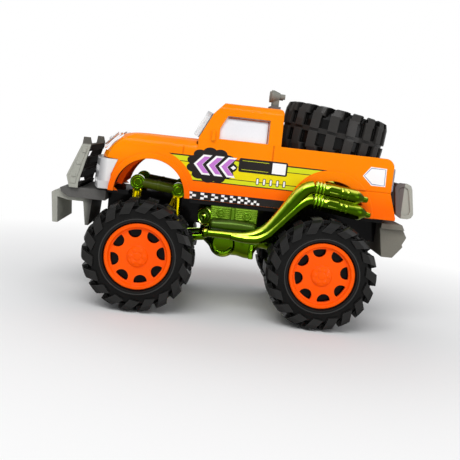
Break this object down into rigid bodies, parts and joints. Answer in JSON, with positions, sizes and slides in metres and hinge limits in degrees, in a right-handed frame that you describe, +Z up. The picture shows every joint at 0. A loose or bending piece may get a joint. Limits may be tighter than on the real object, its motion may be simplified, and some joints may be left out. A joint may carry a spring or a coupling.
{
  "type": "toy off-road pickup truck",
  "caption": "Toy pickup with a hollow body on large lugged tyres, bull bars, roof lamps, side exhausts and a spare tyre in the bed; the wheelsets spin.",
  "frame": {"origin": "bottom centre of the bounding box, on the floor", "axes": "+X towards the front of the truck, +Y to its left, +Z up"},
  "size_m": [0.2686, 0.14, 0.1674],
  "materials": {
    "orange_plastic": "glossy",
    "clear_plastic": "clear",
    "milky_plastic": "milky",
    "silver_plastic": "satin",
    "grey_plastic": "satin",
    "black_plastic": "satin",
    "motor_plastic": "matt",
    "green_chrome": "plated green",
    "rim_plastic": "glossy",
    "rubber": "matt",
    "axle_steel": "drawn"
  },
  "bodies": {
    "truck": {"body_shell": "orange_plastic", "windscreen": "clear_plastic", "window_insert": "milky_plastic", "headlamps": "clear_plastic", "tail_lamps": "clear_plastic", "front_fascia": "silver_plastic", "front_bumper": "grey_plastic", "front_guard": "grey_plastic", "front_skid": "grey_plastic", "rear_guard": "grey_plastic", "rear_skid": "grey_plastic", "light_bar": "grey_plastic", "spare_tyre": "rubber", "spare_carrier": "orange_plastic", "chassis": "black_plastic", "friction_motor": "motor_plastic", "gearbox": "green_chrome", "engine_left": "green_chrome", "engine_right": "green_chrome", "exhaust_left": "green_chrome", "exhaust_right": "green_chrome", "dampers_left": "green_chrome", "dampers_right": "green_chrome"},
    "front_wheelset": {"axle_front": "axle_steel", "rim_front_left": "rim_plastic", "rim_front_right": "rim_plastic", "tyre_front_left": "rubber", "tyre_front_right": "rubber"},
    "rear_wheelset": {"axle_rear": "axle_steel", "rim_rear_left": "rim_plastic", "rim_rear_right": "rim_plastic", "tyre_rear_left": "rubber", "tyre_rear_right": "rubber"}
  },
  "joints": [
    {"name": "front_wheels_spin", "type": "hinge", "parent": "truck", "child": "front_wheelset", "pos_m": [0.06425, 0, 0.04], "axis": [0, 1, 0], "continuous": true},
    {"name": "rear_wheels_spin", "type": "hinge", "parent": "truck", "child": "rear_wheelset", "pos_m": [-0.06575, 0, 0.04], "axis": [0, 1, 0], "continuous": true}
  ]
}
